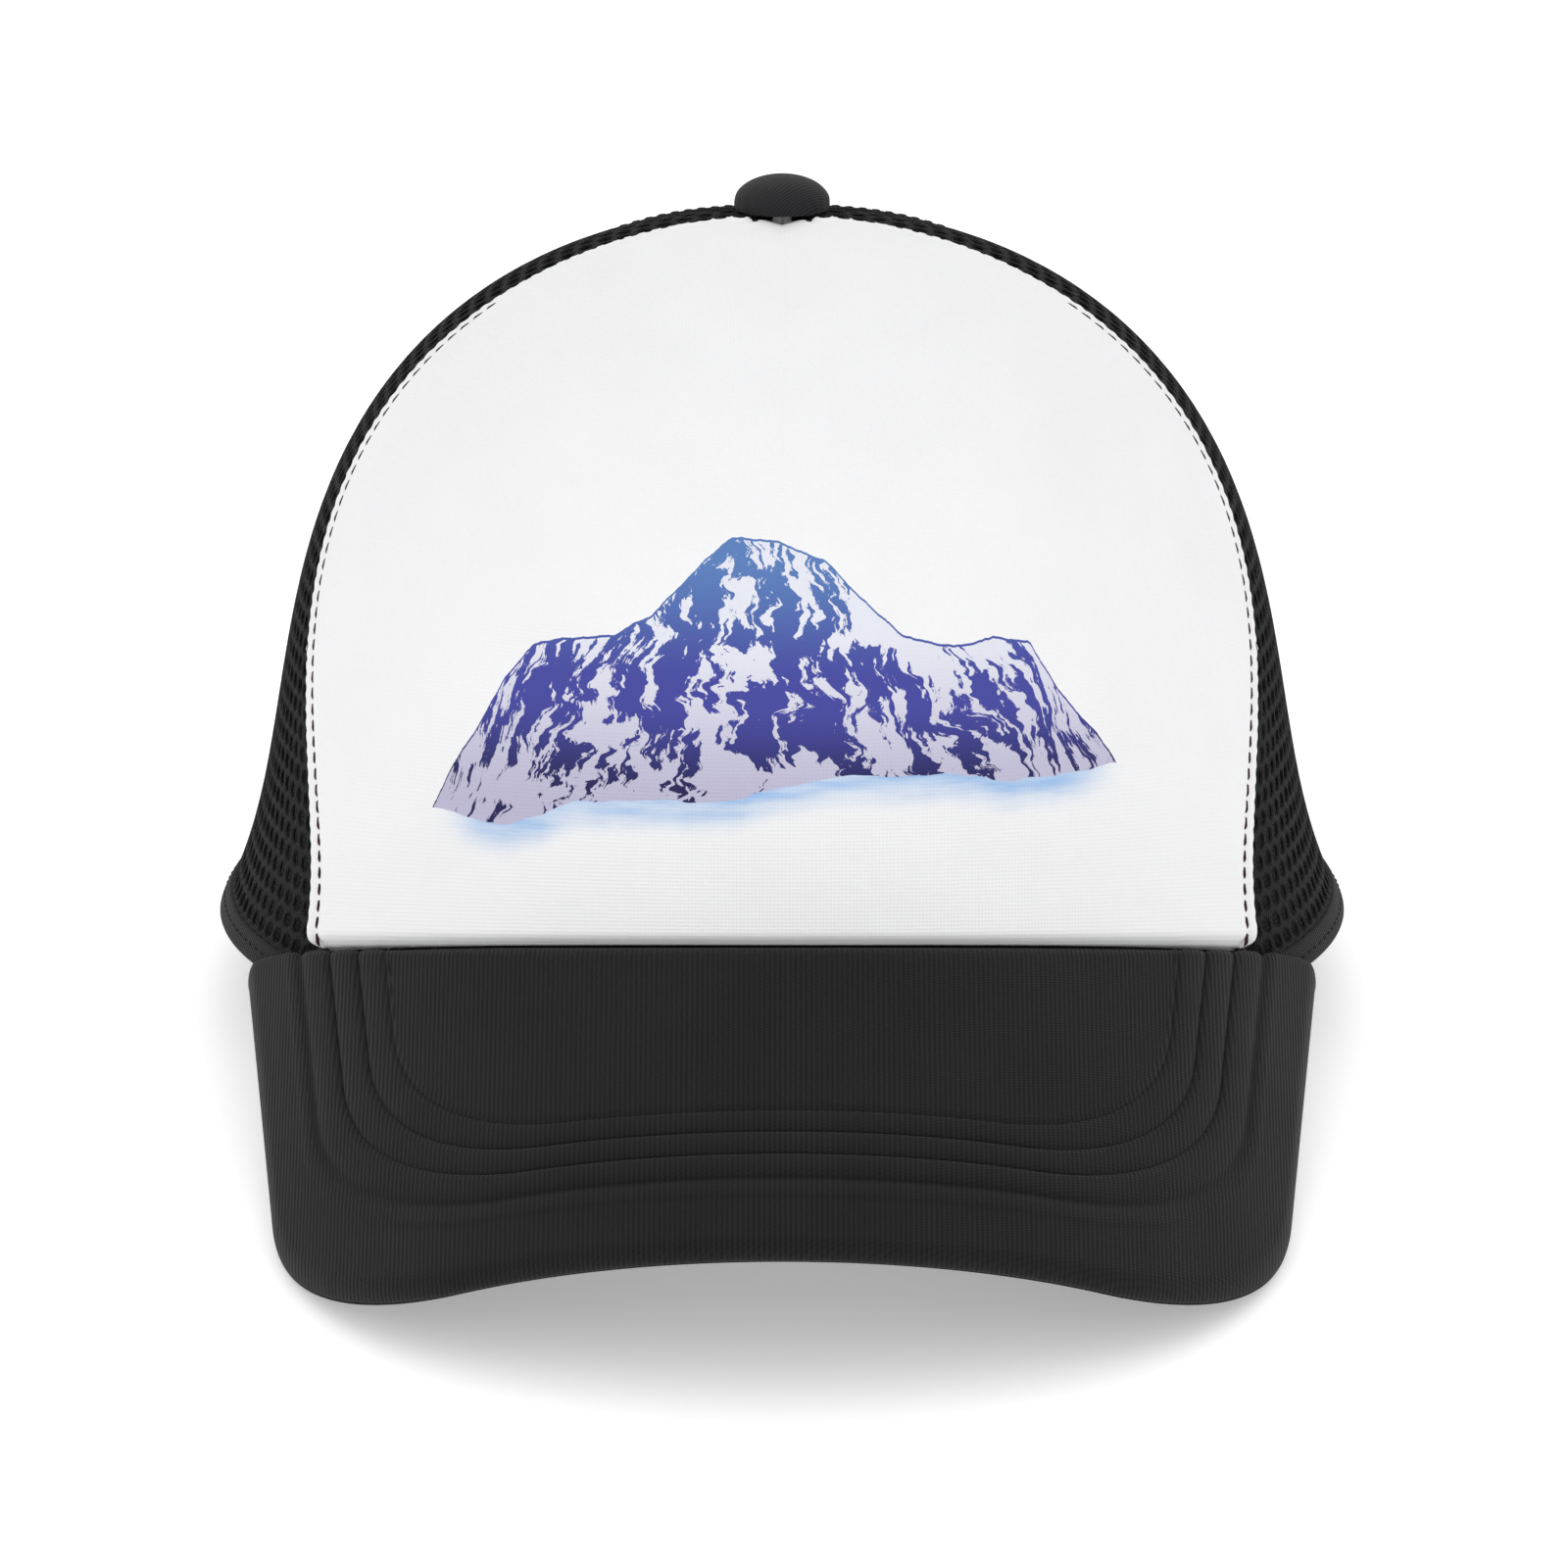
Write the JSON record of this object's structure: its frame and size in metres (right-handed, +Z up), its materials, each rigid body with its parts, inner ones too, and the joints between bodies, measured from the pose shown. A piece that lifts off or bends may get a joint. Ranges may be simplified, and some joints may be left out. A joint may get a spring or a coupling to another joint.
{
  "type": "trucker cap",
  "caption": "Trucker cap with a foam-backed front panel, mesh sides and back, a curved brim, a cloth button and a snap strap under an arch at the back.",
  "frame": {"origin": "on the table, under the middle of the head opening, with the cap standing on its brim corners and back rim", "axes": "+Z up from the table, -Y the way the brim points, +X the wearer's left"},
  "size_m": [0.1898, 0.2524, 0.1396],
  "materials": {
    "front_fabric": "smooth knitted face cloth",
    "front_foam": "open soft foam",
    "mesh": "open net",
    "trim_tape": "woven tape",
    "sweatband_cloth": "brushed woven cloth",
    "brim_cloth": "ribbed woven cloth",
    "brim_board": "satin",
    "button_cloth": "twill",
    "button_metal": "satin",
    "strap_plastic": "satin"
  },
  "bodies": {
    "cap": {"front_panel_face": "front_fabric", "front_panel_foam": "front_foam", "side_mesh_left": "mesh", "side_mesh_right": "mesh", "back_mesh_left": "mesh", "back_mesh_right": "mesh", "arch_binding": "trim_tape", "sweatband": "sweatband_cloth", "front_seam_tape_left": "trim_tape", "front_seam_tape_right": "trim_tape", "side_seam_tape_left": "trim_tape", "side_seam_tape_right": "trim_tape", "back_seam_tape": "trim_tape", "brim_top_cover": "brim_cloth", "brim_board": "brim_board", "brim_under_cover": "brim_cloth", "button_cover": "button_cloth", "button_shell": "button_metal", "button_rivet": "button_metal", "hole_strap_root": "strap_plastic", "peg_strap_root": "strap_plastic"},
    "hole_strap": {"hole_strap": "strap_plastic"},
    "peg_strap": {"peg_strap": "strap_plastic"}
  },
  "joints": [
    {"name": "hole_strap_swing", "type": "hinge", "parent": "cap", "child": "hole_strap", "pos_m": [-0.0375, 0.0846, 0.01142], "axis": [0, 0.1707, 0.9853], "range_deg": [0, 75], "stiffness_Nm_per_rad": 0.0005},
    {"name": "peg_strap_swing", "type": "hinge", "parent": "cap", "child": "peg_strap", "pos_m": [0.0375, 0.0846, 0.01142], "axis": [0, 0.1707, 0.9853], "range_deg": [0, 25], "stiffness_Nm_per_rad": 0.0005}
  ]
}
